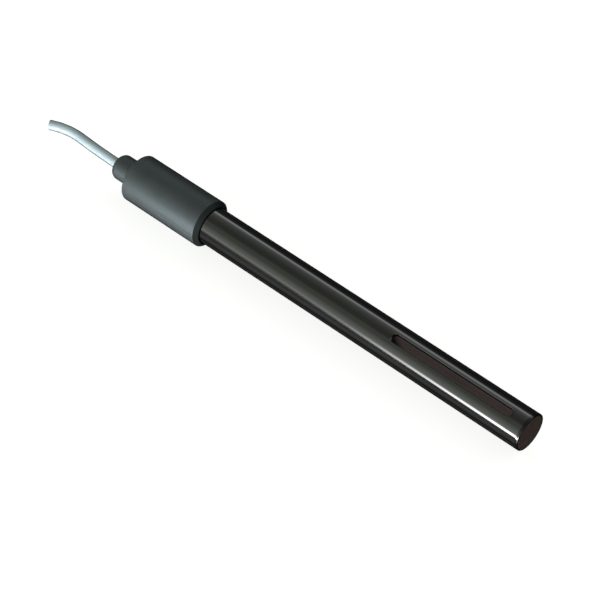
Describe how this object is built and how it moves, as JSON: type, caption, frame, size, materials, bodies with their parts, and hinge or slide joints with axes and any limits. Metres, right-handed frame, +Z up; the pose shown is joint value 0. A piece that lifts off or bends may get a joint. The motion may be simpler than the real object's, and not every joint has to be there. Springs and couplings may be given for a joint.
{
  "type": "water quality probe",
  "caption": "Dip-type conductivity probe for water: a slotted round shaft with a closed tip, a stepped moulded boot and a flexible cable stub.",
  "frame": {"origin": "centre of the flat tip face, on the shaft's axis", "axes": "+X along the shaft and out of the tip, +Z up as the probe lies on a table, and the cable leaves towards -X"},
  "size_m": [0.1889, 0.0154, 0.0154],
  "materials": {
    "shaft_plastic": "gloss",
    "cell_plastic": "matt",
    "boot_rubber": "fine matt",
    "cable_plastic": "satin",
    "graphite": "fine ground",
    "gilt_brass": "satin",
    "copper": "bright",
    "solder_metal": "bright",
    "braid_metal": "woven",
    "bead_glass": "gloss",
    "bedding_epoxy": "satin",
    "potting_epoxy": "satin",
    "sleeve_plastic": "satin",
    "plug_plastic": "satin",
    "wire_red": "gloss",
    "wire_white": "gloss",
    "wire_black": "gloss",
    "wire_green": "gloss"
  },
  "bodies": {
    "probe": {"body_tube": "shaft_plastic", "cell_block": "cell_plastic", "electrode_left": "graphite", "electrode_right": "graphite", "contact_pins": "gilt_brass", "thermistor_bead": "bead_glass", "thermistor_legs": "solder_metal", "thermistor_bedding": "bedding_epoxy", "thermistor_sleeves": "sleeve_plastic", "lead_cores": "copper", "solder_joints": "solder_metal", "splice_sleeves": "sleeve_plastic", "crimp_ferrule": "gilt_brass", "top_plug": "plug_plastic", "potting": "potting_epoxy", "boot": "boot_rubber", "lead_red": "wire_red", "lead_white": "wire_white", "lead_black": "wire_black", "lead_green": "wire_green", "cable_jacket": "cable_plastic", "cable_braid": "braid_metal", "cable_cores": "copper", "conductor_red": "wire_red", "conductor_white": "wire_white", "conductor_black": "wire_black", "conductor_green": "wire_green"},
    "cable_near": {"cable_jacket_mid": "cable_plastic", "cable_braid_mid": "braid_metal", "cable_cores_mid": "copper", "conductor_red_mid": "wire_red", "conductor_white_mid": "wire_white", "conductor_black_mid": "wire_black", "conductor_green_mid": "wire_green"},
    "cable_far": {"cable_jacket_end": "cable_plastic", "cable_braid_end": "braid_metal", "cable_cores_end": "copper", "conductor_red_end": "wire_red", "conductor_white_end": "wire_white", "conductor_black_end": "wire_black", "conductor_green_end": "wire_green"}
  },
  "joints": [
    {"name": "cable_swing", "type": "hinge", "parent": "probe", "child": "cable_near", "pos_m": [-0.1655, 0.00008, 0], "axis": [0, 0, 1], "range_deg": [-35, 35], "stiffness_Nm_per_rad": 0.002},
    {"name": "cable_lift", "type": "hinge", "parent": "cable_near", "child": "cable_far", "pos_m": [-0.17649, 0.00058, 0], "axis": [0.0523, 0.9986, 0], "range_deg": [-25, 35], "stiffness_Nm_per_rad": 0.002}
  ]
}
